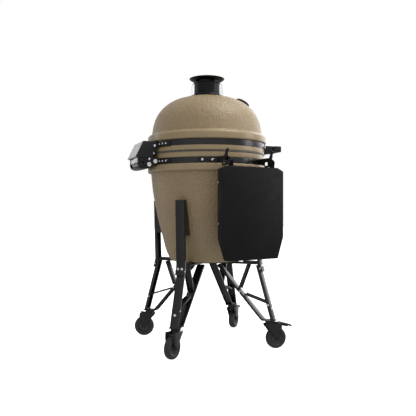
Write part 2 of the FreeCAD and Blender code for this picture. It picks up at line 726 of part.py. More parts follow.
def bowl_bolts():
    face = BRACKET_X + BRACKET_T
    bolts = [band_bolt(REAR + s * a, 876, 5.0, BAND_R + SHEET) for a in BOLT_ANGLES for s in (1, -1)]
    bolts += plate_bolts([(287, 876)], face, socket_bolt, 9.5, 5.5)
    bolts += plate_bolts([(314, 885.5)], face, dome_bolt, 6.0, 4.5)
    pin = HINGE_PIVOT
    bolts += plate_bolts([pin], face, socket_bolt, 10.0, 5.5)
    for side in ("left", "right"):
        for angle in (29.0, 38.0):
            for s in (1, -1):
                bolts.append(band_bolt(table_azimuth(side) + s * angle, 875.5, 6.0, BAND_R + SHEET))
    return Part.makeCompound(bolts)


def leg_point(z):
    t = (z - LEG_FOOT[1]) / (LEG_TOP[1] - LEG_FOOT[1])
    return LEG_FOOT[0] + t * (LEG_TOP[0] - LEG_FOOT[0])


def stand_bolts():
    tilt = math.atan2(LEG_FOOT[0] - LEG_TOP[0], LEG_TOP[1] - LEG_FOOT[1])
    out = (math.cos(tilt), 0, math.sin(tilt))
    bolts = []
    for v in (-10.0, 10.0):
        bolts.append(dome_bolt((POST_FOOT_U + math.tan(tilt) * 16 + 0.1, v, 386), out, 6.5, 5.0))
    bolts.append(dome_bolt((leg_point(187) + 0.1, 0, 187), out, 6.5, 5.0))
    for u, z, half in ((leg_point(207) - 6.7, 205, LEG_W / 2), (284.0, 376, POST_W / 2),
                       (179.3, 259.2, DIAGONAL_W / 2)):
        for side in (1, -1):
            bolts.append(dome_bolt((u, side * (half + 0.05), z), (0, side, 0), 4.5, 3.0))
    whole = []
    for azimuth in CORNERS.values():
        whole += [around(b, azimuth) for b in bolts]
    return Part.makeCompound(whole)


# ---- build --------------------------------------------------------------------------------------


def four(shape):
    return Part.makeCompound([around(shape, azimuth) for azimuth in CORNERS.values()])


def build_shell():
    save("ceramic_bowl", ceramic_bowl())
    save("lid_dome", lid_dome())
    save("bowl_gasket", seam_gasket(-1))
    save("lid_gasket", seam_gasket(1))
    save("bowl_band", steel_band(BOWL_BAND_Z))
    save("lid_band", steel_band(LID_BAND_Z))
    save("fire_box", fire_box())
    save("fire_ring", fire_ring())
    save("charcoal_grate", charcoal_grate())
    save("cooking_grate", cooking_grate())
    save("draft_frame", draft_frame())
    save("draft_door", draft_door())


def build_hinge_and_handle():
    save("hinge_hood", hinge_hood())
    save("hinge_cover", hinge_cover())
    save("hinge_bracket", hinge_bracket())
    save("spring_guard", spring_guard())
    save("hinge_pin", hinge_pin())
    save("hinge_spring", hinge_spring())
    save("spring_rod", spring_rod())
    save("handle_brackets", handle_brackets())
    save("handle_bar", handle_bar())
    save("lid_bolts", lid_bolts())
    save("bowl_bolts", bowl_bolts())


def build_top():
    save("thermometer_case", thermometer_case())
    save("thermometer_dial", thermometer_dial())
    save("thermometer_needle", thermometer_needle())
    save("thermometer_glass", thermometer_glass())
    save("chimney_base", chimney_base())
    save("chimney_tube", chimney_tube())
    save("chimney_cap", chimney_cap())
    save("chimney_clips", chimney_clips())


def build_tables():
    brackets = []
    pins = []
    for side in ("left", "right"):
        azimuth = table_azimuth(side)
        save("side_table_" + side, around(side_table(), azimuth))
        latches = [around(table_latch(s), azimuth) for s in (1, -1)]
        save("table_latches_" + side, Part.makeCompound(latches))
        brackets += [around(table_bracket(s), azimuth) for s in (1, -1)]
        pins += [around(table_pin(s), azimuth) for s in (1, -1)]
    save("table_brackets", Part.makeCompound(brackets))
    save("table_pins", Part.makeCompound(pins))


def build_stand():
    save("corner_posts", four(corner_post()))
    save("outer_legs", four(outer_leg()))
    save("top_links", four(top_link()))
    save("inner_struts", four(inner_strut()))
    save("long_diagonals", four(long_diagonal()))
    save("cross_braces", four(cross_brace()))
    save("support_plate", support_plate())
    save("castor_plates", four(castor_plate()))
    save("stand_bolts", stand_bolts())


def build_castors():
    for corner in CORNERS:
        save("castor_fork_" + corner, place_castor(castor_fork(corner in BRAKED), corner))
        save("wheel_hub_" + corner, place_castor(wheel_hub(), corner))
        save("wheel_tyre_" + corner, place_castor(wheel_tyre(), corner))
    for corner in BRAKED:
        save("brake_pedal_" + corner, place_castor(brake_pedal(), corner))


build_shell()
build_hinge_and_handle()
build_top()
build_tables()
build_stand()
build_castors()
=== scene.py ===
import json
import math
from itertools import product

import bmesh
import bpy
import numpy as np
from mathutils import Matrix, Vector


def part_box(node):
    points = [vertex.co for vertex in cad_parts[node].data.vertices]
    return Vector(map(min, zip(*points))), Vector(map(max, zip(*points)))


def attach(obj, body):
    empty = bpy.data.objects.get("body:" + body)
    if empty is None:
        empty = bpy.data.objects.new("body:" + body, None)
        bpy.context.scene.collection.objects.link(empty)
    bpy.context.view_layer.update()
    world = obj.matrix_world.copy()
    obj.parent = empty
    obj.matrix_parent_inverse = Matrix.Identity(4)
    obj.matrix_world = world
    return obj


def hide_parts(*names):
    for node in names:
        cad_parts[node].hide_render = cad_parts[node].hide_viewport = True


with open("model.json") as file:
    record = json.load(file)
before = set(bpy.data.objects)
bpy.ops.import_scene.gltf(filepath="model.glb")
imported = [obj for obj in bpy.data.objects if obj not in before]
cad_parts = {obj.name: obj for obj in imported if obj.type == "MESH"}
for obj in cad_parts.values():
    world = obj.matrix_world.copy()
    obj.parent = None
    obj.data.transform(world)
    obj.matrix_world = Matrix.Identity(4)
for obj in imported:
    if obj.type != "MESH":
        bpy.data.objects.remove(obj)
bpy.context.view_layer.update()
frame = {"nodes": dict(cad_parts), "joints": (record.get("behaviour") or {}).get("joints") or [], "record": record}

# A kamado ceramic grill in metres, +Z up, shell axis at x = y = 0, front (handle) at -Y.
# Every CAD node keeps its place.  Turned parts are rebuilt as fine lathed meshes, sheet parts are
# copied with rounded edges, and small details that the nodes leave out are added beside them.

# ---- driving dimensions -------------------------------------------------------------------------

MM = 0.001
SEGMENTS = 192                       # sides of the bands and gaskets
SHELL_SEGMENTS = 540                 # sides of the two dimpled shells
SHELL_STEPS = 122                    # points along a shell's outside, about 3 mm apart
CHIMNEY_SEGMENTS = 128
SMALL_SEGMENTS = 96                  # sides of the wheels and the gauge
SHARP = 38.0                         # degrees between faces that a turned part keeps as an edge
COLLAR_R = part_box("ceramic_bowl")[1].x
BAND_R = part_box("bowl_band")[1].x
RIM_R = BAND_R - 1.0 * MM
GROOVE_R = BAND_R - 3.5 * MM
BOWL_BASE_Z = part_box("ceramic_bowl")[0].z
BOWL_RIM_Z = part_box("ceramic_bowl")[1].z
LID_RIM_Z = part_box("lid_dome")[0].z
DOME_R, DOME_RISE, DOME_FOOT_Z = 0.26835, 0.1956, 1.0119
FLUE_R = 0.054
CHIMNEY_R = 0.0625                   # the chimney tube's barrel
DIMPLE_PITCH, DIMPLE_DEPTH = 0.0110, 0.0026
DIMPLE_MARGIN = 0.004                # height over which the dimples fade out at a collar
SPRING_WIRE_R, SPRING_TURNS = 0.0026, 4
DIAL_START, DIAL_SWEEP = 120.0, 240.0  # degrees anticlockwise from the dial's top, and its sweep
DIAL_TICKS = 40
TABLE_AZIMUTH = {"left": 193.8, "right": -13.8}
RIVET_OUT, RIVET_ALONG, RIVET_Z = 0.3365, 0.168, (0.592, 0.770)
CORNERS = ("rear_left", "rear_right", "front_left", "front_right")

CAMERA_SPOT = (-2.5566, 0.9371, 0.660)
CAMERA_LOOK = (0.93825, -0.34595, 0.0)
LENS, SENSOR = 47.6, 36.0
FLOOR_HALF = 14.0
AMBIENT = 0.38                       # brightness of the studio's dim side
# direction, the cosines where the bright area starts and is full, and how bright it is
WORLD_LOBES = (((0, 0, 1), 0.1, 0.9, 0.30),
               ((0.55, -0.78, 0.30), 0.82, 0.97, 1.9),
               ((0.94, 0.21, 0.27), 0.93, 0.98, 0.40),
               ((-0.35, 0.94, 0.0), 0.80, 0.97, 0.05),
               ((-0.92, 0.30, -0.25), 0.2, 0.9, 0.30))
# name, place, what it points at, size, watts
LIGHTS = (("top_box", (-0.7, -0.9, 3.0), (0, 0, 0.9), (1.4, 1.4), 35.0),
          ("side_box", (-1.2, -2.6, 1.7), (0, 0, 0.8), (0.9, 1.8), 20.0),
          ("rim_box", (1.55, 2.0, 1.1), (0, 0, 0.75), (0.4, 1.8), 5.0))

JOINTS = {joint["name"]: joint for joint in frame["joints"]}

# ---- mesh helpers -------------------------------------------------------------------------------


def new_object(name, data):
    obj = bpy.data.objects.new(name, data)
    bpy.context.scene.collection.objects.link(obj)
    return obj


def from_bmesh(name, bm):
    bmesh.ops.recalc_face_normals(bm, faces=bm.faces)
    mesh = bpy.data.meshes.new(name)
    bm.to_mesh(mesh)
    bm.free()
    return new_object(name, mesh)


def apply_modifiers(obj):
    """Bakes the object's modifiers into its mesh."""
    graph = bpy.context.evaluated_depsgraph_get()
    mesh = bpy.data.meshes.new_from_object(obj.evaluated_get(graph))
    old = obj.data
    obj.modifiers.clear()
    obj.data = mesh
    bpy.data.meshes.remove(old)


def shade(obj, angle=35.0):
    """Smooth shading that stays sharp where faces meet at more than angle degrees."""
    mesh = obj.data
    bm = bmesh.new()
    bm.from_mesh(mesh)
    limit = math.radians(angle)
    for face in bm.faces:
        face.smooth = True
    for edge in bm.edges:
        edge.smooth = not (len(edge.link_faces) == 2 and edge.calc_face_angle(0.0) > limit)
    bm.to_mesh(mesh)
    bm.free()
    return obj


def bevelled(obj, width, segments=2, angle=30.0):
    """Rounds every edge sharper than angle."""
    bevel = obj.modifiers.new("bevel", "BEVEL")
    bevel.width = width
    bevel.segments = segments
    bevel.limit_method = "ANGLE"
    bevel.angle_limit = math.radians(angle)
    bevel.harden_normals = False
    bevel.use_clamp_overlap = True
    apply_modifiers(obj)
    return shade(obj, 40.0)


def copy_of(node, width=0.6 * MM, segments=2, angle=28.0):
    """A CAD node's shape with its flat facets merged and its edges rounded, standing for the node."""
    source = frame["nodes"][node]
    bm = bmesh.new()
    bm.from_mesh(source.data)
    bmesh.ops.remove_doubles(bm, verts=bm.verts, dist=1e-6)
    bmesh.ops.dissolve_limit(bm, angle_limit=math.radians(0.6), verts=bm.verts, edges=bm.edges)
    obj = from_bmesh(node + "_shell", bm)
    return bevelled(obj, width, segments, angle) if width > 0 else shade(obj, 30.0)


def stand_in(obj, node, material):
    """Makes obj the visible form of a CAD node, riding on the node's body."""
    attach(obj, body_of(node))
    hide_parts(node)
    return paint(obj, material)


def body_of(node):
    for body, nodes in frame["record"]["behaviour"]["bodies"].items():
        if node in nodes:
            return body
    raise KeyError(node)


def paint(obj, *materials):
    obj.data.materials.clear()
    for material in materials:
        obj.data.materials.append(material)
    return obj


def add(obj, body, material, slot):
    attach(obj, body)
    return paint(obj, material)


def natural_spline(points, count):
    """Points along a smooth curve through the given ones, evenly stepped by chord length."""
    p = np.array(points, float)
    t = np.concatenate([[0], np.cumsum(np.hypot(*np.diff(p, axis=0).T))])
    n = len(p)
    h = np.diff(t)
    system = np.eye(n)
    right = np.zeros((n, 2))
    for i in range(1, n - 1):
        system[i, i - 1:i + 2] = [h[i - 1], 2 * (h[i - 1] + h[i]), h[i]]
        right[i] = 6 * ((p[i + 1] - p[i]) / h[i] - (p[i] - p[i - 1]) / h[i - 1])
    m = np.linalg.solve(system, right)
    out = []
    for s in np.linspace(0, t[-1], count):
        i = min(int(np.searchsorted(t, s, side="right")) - 1, n - 2)
        a, b = (t[i + 1] - s) / h[i], (s - t[i]) / h[i]
        bend = ((a ** 3 - a) * m[i] + (b ** 3 - b) * m[i + 1]) * h[i] ** 2 / 6
        out.append(tuple(a * p[i] + b * p[i + 1] + bend))
    return out


def rounded(points, radius, steps=4):
    """An open or closed outline with its inner corners replaced by short arcs."""
    out = [points[0]]
    for before, corner, after in zip(points, points[1:], points[2:]):
        c = Vector(corner)
        to_a, to_b = Vector(before) - c, Vector(after) - c
        cut = min(radius, to_a.length * 0.45, to_b.length * 0.45)
        start, end = c + to_a.normalized() * cut, c + to_b.normalized() * cut
        if to_a.angle(to_b) > math.radians(172):
            out.append(corner)
            continue
        for k in range(steps + 1):
            f = k / steps
            out.append(tuple((1 - f) ** 2 * start + 2 * f * (1 - f) * c + f * f * end))
    out.append(points[-1])
    return out


def lathe(name, outline, segments=SEGMENTS, closed=True, matrix=None):
    """A solid of revolution about Z; outline points on the axis become single vertices."""
    bm = bmesh.new()
    rings = []
    for r, z in outline:
        if r < 1e-6:
            rings.append([bm.verts.new((0, 0, z))])
            continue
        ring = []
        for k in range(segments):
            a = 2 * math.pi * k / segments
            ring.append(bm.verts.new((r * math.cos(a), r * math.sin(a), z)))
        rings.append(ring)
    pairs = list(zip(rings, rings[1:]))
    if closed and (len(rings[0]) > 1 or len(rings[-1]) > 1):
        pairs.append((rings[-1], rings[0]))
    for low, high in pairs:
        for k in range(segments):
            n = (k + 1) % segments
            corners = [low[k % len(low)], low[n % len(low)], high[n % len(high)], high[k % len(high)]]
            unique = list(dict.fromkeys(corners))
            if len(unique) > 2:
                bm.faces.new(unique)
    if matrix is not None:
        bm.transform(matrix)
    return shade(from_bmesh(name, bm), SHARP)


def mesh_of(curve):
    """The mesh of a curve or text, made through a short-lived object."""
    temp = new_object(curve.name + "_path", curve)
    graph = bpy.context.evaluated_depsgraph_get()
    mesh = bpy.data.meshes.new_from_object(temp.evaluated_get(graph))
    bpy.data.objects.remove(temp)
    return mesh


def tube(name, points, radius, sides=12):
    """A round wire along a polyline of points."""
    curve = bpy.data.curves.new(name, "CURVE")
    curve.dimensions = "3D"
    curve.bevel_depth = radius
    curve.bevel_resolution = max(1, sides // 4 - 1)
    curve.use_fill_caps = True
    spline = curve.splines.new("POLY")
    spline.points.add(len(points) - 1)
    for point, spot in zip(spline.points, points):
        point.co = (*spot, 1.0)
    mesh = mesh_of(curve)
    bpy.data.curves.remove(curve)
    bm = bmesh.new()
    bm.from_mesh(mesh)
    bmesh.ops.remove_doubles(bm, verts=bm.verts, dist=1e-7)
    bpy.data.meshes.remove(mesh)
    return shade(from_bmesh(name, bm), 50.0)


def slab_between(bm, low, high, matrix=None):
    """Adds a box from its low to its high corner to a bmesh, optionally moved by matrix."""
    made = bmesh.ops.create_cube(bm, size=1.0)["verts"]
    low, high = Vector(low), Vector(high)
    move = Matrix.Translation((low + high) / 2) @ Matrix.Diagonal((*(high - low), 1.0))
    bmesh.ops.transform(bm, matrix=(matrix @ move) if matrix is not None else move, verts=made)


def facing(point, direction, spin=None):
    """A matrix that puts local +Z along direction at point."""
    z = Vector(direction).normalized()
    if spin is None:
        spin = (0, 0, 1) if abs(z.z) < 0.9 else (1, 0, 0)
    x = Vector(spin)
    x = (x - z * x.dot(z)).normalized()
    y = z.cross(x)
    turn = Matrix((x, y, z)).transposed().to_4x4()
    return Matrix.Translation(Vector(point)) @ turn


def merged(name, objects):
    """One object from several, keeping their meshes' places."""
    bm = bmesh.new()
    for obj in objects:
        bm.from_mesh(obj.data)
        bpy.data.objects.remove(obj)
    return from_bmesh(name, bm)


# ---- material helpers ---------------------------------------------------------------------------


class Shader:
    """A small wrapper that keeps material code short."""

    def __init__(self, name, colour, roughness, metallic=0.0):
        self.material = bpy.data.materials.new(name)
        self.material.use_nodes = True
        self.nodes = self.material.node_tree.nodes
        self.links = self.material.node_tree.links
        self.surface = self.nodes["Principled BSDF"]
        self.surface.inputs["Base Color"].default_value = (*colour, 1.0)
        self.surface.inputs["Roughness"].default_value = roughness
        self.surface.inputs["Metallic"].default_value = metallic
        self.colour = (*colour, 1.0)
        self.place = self.add("ShaderNodeTexCoord").outputs["Object"]
        self.bumps = None

    def add(self, kind, **values):
        node = self.nodes.new(kind)
        for key, value in values.items():
            if key in node.inputs:
                node.inputs[key].default_value = value
            else:
                setattr(node, key, value)
        return node

    def noise(self, scale, detail=3.0, roughness=0.55, stretch=None):
        node = self.add("ShaderNodeTexNoise", Scale=scale, Detail=detail, Roughness=roughness)
        source = self.place
        if stretch is not None:
            mapping = self.add("ShaderNodeMapping", Scale=stretch)
            self.links.new(source, mapping.inputs["Vector"])
            source = mapping.outputs["Vector"]
        self.links.new(source, node.inputs["Vector"])
        return node.outputs["Fac"]

    def cells(self, scale, feature="F1", smooth=0.0):
        node = self.add("ShaderNodeTexVoronoi", Scale=scale)
        node.feature = feature
        if feature == "SMOOTH_F1":
            node.inputs["Smoothness"].default_value = smooth
        self.links.new(self.place, node.inputs["Vector"])
        return node.outputs["Distance"]

    def spread(self, value, low, high, out_low, out_high):
        node = self.add("ShaderNodeMapRange")
        numbers = {"From Min": low, "From Max": high, "To Min": out_low, "To Max": out_high}
        for socket, number in numbers.items():
            node.inputs[socket].default_value = number
        self.links.new(value, node.inputs["Value"])
        return node.outputs["Result"]

    def vary_colour(self, value, other, low=0.35, high=0.65, amount=1.0):
        """Mixes the present colour towards other where value is high."""
        factor = self.spread(value, low, high, 0.0, amount)
        mix = self.add("ShaderNodeMix", data_type="RGBA")
        self.links.new(factor, mix.inputs["Factor"])
        socket = self.surface.inputs["Base Color"]
        if socket.is_linked:
            self.links.new(socket.links[0].from_socket, mix.inputs[6])
        else:
            mix.inputs[6].default_value = self.colour
        mix.inputs[7].default_value = (*other, 1.0)
        self.links.new(mix.outputs[2], socket)
        return self

    def vary_roughness(self, value, low, high):
        result = self.spread(value, 0.3, 0.7, low, high)
        self.links.new(result, self.surface.inputs["Roughness"])
        return self

    def bump(self, value, strength, distance):
        node = self.add("ShaderNodeBump", Strength=strength, Distance=distance)
        self.links.new(value, node.inputs["Height"])
        if self.bumps is not None:
            self.links.new(self.bumps, node.inputs["Normal"])
        self.bumps = node.outputs["Normal"]
        self.links.new(self.bumps, self.surface.inputs["Normal"])
        return self

    def edge_wear_and_highlight(self, colour, amount=0.5):
        """Lightens convex edges, partly as wear where the coat is thin and partly as a painted highlight."""
        point = self.add("ShaderNodeNewGeometry").outputs["Pointiness"]
        grain = self.noise(140.0, 4.0)
        add = self.add("ShaderNodeMath", operation="MULTIPLY_ADD")
        self.links.new(grain, add.inputs[0])
        add.inputs[1].default_value = 0.06
        self.links.new(point, add.inputs[2])
        return self.vary_colour(add.outputs[0], colour, 0.56, 0.62, amount)

    def pit_shade_ridge_highlight(self, pit_shade_colour, ridge_highlight_colour, amount):
        """Paints shade into the hollows of a dimpled surface and paints highlight on the ridges between them."""
        point = self.add("ShaderNodeNewGeometry").outputs["Pointiness"]
        self.vary_colour(point, pit_shade_colour, 0.495, 0.44, amount)
        return self.vary_colour(point, ridge_highlight_colour, 0.505, 0.56, amount)

    def done(self, **sockets):
        for key, value in sockets.items():
            self.surface.inputs[key.replace("_", " ")].default_value = value
        return self.material


def glaze(name, textured):
    """Sand-coloured glaze: dimpled over the shells' bodies, with painted shade in the dimples and painted
    highlight on their ridges, smooth on their collars.
    """
    s = Shader(name, (0.318, 0.234, 0.132), 0.46)
    s.vary_colour(s.noise(9.0, 4.0), (0.350, 0.262, 0.152), 0.3, 0.7, 0.8)
    s.vary_colour(s.noise(46.0, 5.0, 0.65), (0.240, 0.174, 0.096), 0.52, 0.74, 0.30)
    if textured:
        peel = s.cells(210.0, "SMOOTH_F1", 0.6)
        s.vary_colour(peel, (0.200, 0.142, 0.078), 0.30, 0.72, 0.45)
        # painted shade in the dimples' hollows and painted highlight on their ridges
        s.pit_shade_ridge_highlight((0.165, 0.115, 0.060), (0.430, 0.335, 0.205), 0.75)
        s.bump(peel, 0.8, 0.0012)
        s.bump(s.noise(420.0, 3.0), 0.20, 0.0005)
        s.vary_roughness(s.noise(60.0, 3.0), 0.36, 0.52)
    else:
        s.bump(s.noise(30.0, 3.0, 0.5, (1.0, 1.0, 9.0)), 0.12, 0.0015)
        s.bump(s.noise(330.0, 2.0), 0.05, 0.0003)
        s.vary_roughness(s.noise(24.0, 3.0), 0.26, 0.38)
    return s.done(Specular_IOR_Level=0.35, Coat_Weight=0.08, Coat_Roughness=0.3)


def refractory():
    s = Shader("raw_ceramic", (0.50, 0.42, 0.33), 0.9)
    s.vary_colour(s.noise(22.0, 5.0), (0.40, 0.33, 0.26), 0.4, 0.7, 0.8)
    s.vary_colour(s.noise(7.0, 4.0), (0.17, 0.14, 0.12), 0.52, 0.78, 0.6)
    s.bump(s.noise(260.0, 4.0), 0.5, 0.0008)
    return s.done()


def coated(name, colour, rough, grain, strength=0.25, wear_and_highlight=0.35, gloss=0.3):
    """Powder-coated steel: a fine even grain, soft sheen changes, and thin edges lightened partly as wear and
    partly as a painted highlight.
    """
    s = Shader(name, colour, rough, 0.0)
    lighter = tuple(min(1.0, c * 1.5 + 0.002) for c in colour)
    s.vary_colour(s.noise(12.0, 4.0), lighter, 0.4, 0.75, 0.5)
    # convex edges lightened: partly wear, partly painted highlight
    s.edge_wear_and_highlight(tuple(min(1.0, c * 2.0 + 0.012) for c in colour), wear_and_highlight)
    s.vary_roughness(s.noise(35.0, 4.0), rough - 0.07, rough + 0.09)
    s.bump(s.noise(grain, 3.0), strength, 0.0003)
    return s.done(Specular_IOR_Level=gloss)


def brushed(name, colour, rough, stretch):
    """Bare steel with fine brush lines along one direction."""
    s = Shader(name, colour, rough, 1.0)
    lines = s.noise(60.0, 5.0, 0.6, stretch)
    s.vary_colour(lines, tuple(c * 0.72 for c in colour), 0.35, 0.7, 0.8)
    s.vary_roughness(lines, rough - 0.08, rough + 0.12)
    s.vary_colour(s.noise(8.0, 3.0), tuple(c * 0.8 for c in colour), 0.45, 0.75, 0.5)
    s.bump(lines, 0.12, 0.0002)
    return s.done()


def bright_steel():
    s = Shader("bolt_steel", (0.78, 0.78, 0.79), 0.22, 1.0)
    s.vary_colour(s.noise(90.0, 4.0), (0.55, 0.55, 0.56), 0.45, 0.75, 0.7)
    s.vary_roughness(s.noise(200.0, 3.0), 0.16, 0.34)
    s.bump(s.noise(700.0, 2.0), 0.08, 0.0001)
    return s.done()


def chrome():
    s = Shader("spring_chrome", (0.80, 0.80, 0.82), 0.10, 1.0)
    s.vary_colour(s.noise(150.0, 3.0), (0.60, 0.60, 0.63), 0.45, 0.8, 0.7)
    s.vary_roughness(s.noise(80.0, 3.0), 0.07, 0.2)
    return s.done()


def rubber():
    s = Shader("castor_tyre", (0.020, 0.020, 0.022), 0.62)
    s.vary_colour(s.noise(30.0, 5.0), (0.045, 0.043, 0.041), 0.45, 0.8, 0.6)
    s.vary_roughness(s.noise(60.0, 4.0), 0.62, 0.85)
    s.bump(s.noise(600.0, 3.0), 0.3, 0.0003)
    return s.done()


def moulded():
    s = Shader("castor_hub", (0.018, 0.0185, 0.020), 0.42)
    s.vary_colour(s.noise(40.0, 4.0), (0.034, 0.034, 0.036), 0.45, 0.75, 0.6)
    s.vary_roughness(s.noise(50.0, 3.0), 0.38, 0.55)
    s.bump(s.noise(900.0, 2.0), 0.15, 0.0002)
    return s.done()


def felt():
    s = Shader("felt_black", (0.050, 0.052, 0.052), 0.55)
    s.vary_colour(s.noise(300.0, 5.0), (0.11, 0.115, 0.11), 0.45, 0.7, 0.8)
    s.vary_roughness(s.noise(200.0, 3.0), 0.45, 0.7)
    s.bump(s.noise(900.0, 4.0), 0.5, 0.0005)
    return s.done(Sheen_Weight=0.4, Sheen_Roughness=0.5)


def cast_black(name, colour, rough, gloss):
    s = Shader(name, colour, rough)
    s.vary_colour(s.noise(25.0, 4.0), tuple(c * 1.9 + 0.001 for c in colour), 0.45, 0.75, 0.6)
    s.vary_roughness(s.noise(45.0, 4.0), rough - 0.06, rough + 0.1)
    # convex edges lightened: partly wear, partly painted highlight
    s.edge_wear_and_highlight(tuple(c * 2.5 + 0.006 for c in colour), 0.3)
    s.bump(s.noise(480.0, 4.0), 0.28, 0.0004)
    return s.done(Specular_IOR_Level=gloss)


def dial_paint():
    s = Shader("dial_white", (0.83, 0.82, 0.78), 0.5)
    s.vary_colour(s.noise(60.0, 3.0), (0.78, 0.77, 0.72), 0.4, 0.7, 0.6)
    s.vary_roughness(s.noise(80.0, 3.0), 0.42, 0.58)
    s.bump(s.noise(900.0, 2.0), 0.06, 0.0001)
    return s.done()


def print_paint(name, colour):
    s = Shader(name, colour, 0.5)
    s.vary_colour(s.noise(200.0, 2.0), tuple(c * 0.8 for c in colour), 0.4, 0.7, 0.6)
    s.vary_roughness(s.noise(150.0, 2.0), 0.42, 0.6)
    return s.done()


def clear_glass():
    s = Shader("gauge_glass", (1.0, 1.0, 1.0), 0.02)
    s.vary_roughness(s.noise(30.0, 3.0), 0.01, 0.06)
    return s.done(Transmission_Weight=1.0, IOR=1.45)


def floor_paint():
    s = Shader("studio_floor", (0.88, 0.88, 0.88), 0.7)
    s.vary_roughness(s.noise(3.0, 2.0), 0.66, 0.76)
    return s.done(Emission_Color=(1.0, 1.0, 1.0, 1.0), Emission_Strength=0.85)


GLAZE = glaze("glazed_ceramic_sand", True)
GLAZE_SMOOTH = glaze("glazed_ceramic_collar", False)
RAW = refractory()
COAT = coated("coated_steel_black", (0.0042, 0.0043, 0.0047), 0.36, 900.0)
STAND = coated("stand_black", (0.0036, 0.0037, 0.0042), 0.30, 900.0, 0.2, 0.35, 0.45)
BAND = coated("band_black", (0.0055, 0.0056, 0.0062), 0.26, 1200.0, 0.12, 0.35, 0.5)
TABLE = coated("table_black", (0.0050, 0.0051, 0.0054), 0.55, 700.0, 0.45, 0.25, 0.13)
HANDLE = coated("handle_black", (0.0080, 0.0080, 0.0085), 0.5, 800.0, 0.4)
FORK = coated("castor_fork_steel", (0.0085, 0.0086, 0.0092), 0.38, 1000.0)
BRUSHED = brushed("brushed_steel", (0.58, 0.58, 0.59), 0.32, (0.15, 12.0, 12.0))
POLISHED = brushed("polished_steel", (0.80, 0.80, 0.81), 0.16, (0.15, 12.0, 12.0))
DRAFT = brushed("draft_steel", (0.60, 0.60, 0.61), 0.30, (0.3, 0.3, 14.0))
BRIGHT = bright_steel()
CHROME = chrome()
RUBBER = rubber()
HUB = moulded()
FELT = felt()
IRON = cast_black("chimney_black", (0.0020, 0.0020, 0.0022), 0.34, 0.22)
GRATE_IRON = cast_black("cast_iron", (0.045, 0.044, 0.043), 0.62, 0.5)
GRATE_STEEL = brushed("grate_steel", (0.58, 0.58, 0.58), 0.28, (10.0, 0.2, 10.0))
GAUGE = coated("gauge_black", (0.008, 0.008, 0.0085), 0.22, 1400.0, 0.1, 0.3, 0.5)
DIAL = dial_paint()
INK = print_paint("dial_ink", (0.02, 0.02, 0.02))
RED = print_paint("needle_red", (0.55, 0.03, 0.02))
GLASS = clear_glass()

# ---- ceramic shells -----------------------------------------------------------------------------

BOWL_SIDE = [(0.185, 0.416), (0.201, 0.453), (0.216, 0.508), (0.230, 0.562), (0.245, 0.626),
             (0.2595, 0.699), (0.270, 0.773), (0.275, 0.829)]
BOWL_INSIDE = [(0.253, 0.910), (0.247, 0.829), (0.243, 0.773), (0.233, 0.699), (0.205, 0.562),
               (0.183, 0.490), (0.160, 0.444), (0.140, 0.436)]
BOWL_FLOOR_Z, BOWL_FLOOR_R = 0.436, 0.145
COLLAR_LOW = (0.829, 0.861)
COLLAR_HIGH = (0.972, 1.003)
DOME_SMOOTH_Z = 1.0152               # the dome's dimples start just above it
BARE_R = 0.2535                      # ceramic nearer to the shell's axis than this is unglazed


def dome_curve(radius, rise, foot, end_r, count):
    """A superelliptic dome from its foot up to radius end_r."""
    points = []
    for k in range(count):
        t = k / (count - 1.0)
        r = radius - (radius - end_r) * (1 - (1 - t) ** 1.8)
        cosine = min(1.0, (r / radius) ** 1.362)
        sine = math.sqrt(max(0.0, 1 - cosine * cosine))
        points.append((r, foot + rise * sine ** 0.919))
    return points


def share_out(obj, z_low, z_high, bare_r, floor_z):
    """Material 1, the smooth glaze, on the collar and rim; 2, bare ceramic, inside; 0 elsewhere."""
    for face in obj.data.polygons:
        spot, normal = face.center, face.normal
        r = math.hypot(spot.x, spot.y)
        inwards = normal.x * spot.x + normal.y * spot.y < -0.02 * r
        if z_low <= spot.z <= z_high and r > bare_r:
            face.material_index = 1
        elif inwards or (floor_z < spot.z < floor_z + 0.02 and r < BOWL_FLOOR_R and normal.z > 0.9):
            face.material_index = 2


def hashed(cells, salt):
    """Repeatable pseudo-random numbers from 0 to 1 for integer cells."""
    x, y, z = cells.T
    mixed = x * 73856093 ^ y * 19349663 ^ z * 83492791 ^ salt * 2654435761
    mixed = (mixed ^ (mixed >> 13)) * 1274126177 & 0xFFFFFFFF
    return ((mixed ^ (mixed >> 16)) & 0xFFFF) / 65535.0


def nearest_centre(points, pitch):
    """Distance from each point to the nearest of a field of scattered centres, in pitches."""
    scaled = points / pitch
    home = np.floor(scaled).astype(np.int64)
    best = np.full(len(points), 9.0)
    for step in product((-1, 0, 1), repeat=3):
        cell = home + step
        centre = cell + np.stack([hashed(cell, salt) for salt in (1, 2, 3)], axis=1)
        best = np.minimum(best, np.linalg.norm(scaled - centre, axis=1))
    return best


def dimple(obj, z_low, z_high):
    """Presses shallow dimples into the outward-facing glaze between two heights."""
    mesh = obj.data
    count = len(mesh.vertices)
    spots, normals = np.zeros(count * 3), np.zeros(count * 3)
    mesh.vertices.foreach_get("co", spots)
    mesh.vertices.foreach_get("normal", normals)
    spots, normals = spots.reshape(-1, 3), normals.reshape(-1, 3)
    outward = (spots[:, :2] * normals[:, :2]).sum(1) > 0
    above = np.clip((spots[:, 2] - z_low) / DIMPLE_MARGIN, 0, 1)
    below = np.clip((z_high - spots[:, 2]) / DIMPLE_MARGIN, 0, 1)
    coarse = np.clip(1 - nearest_centre(spots, DIMPLE_PITCH) / 0.75, 0, 1)
    fine = np.clip(1 - nearest_centre(spots + 1.7, DIMPLE_PITCH * 0.62) / 0.8, 0, 1)
    depth = DIMPLE_DEPTH * (above * below) * outward * (0.75 * coarse + 0.45 * fine)
    mesh.vertices.foreach_set("co", (spots - normals * depth[:, None]).ravel())
    mesh.update()


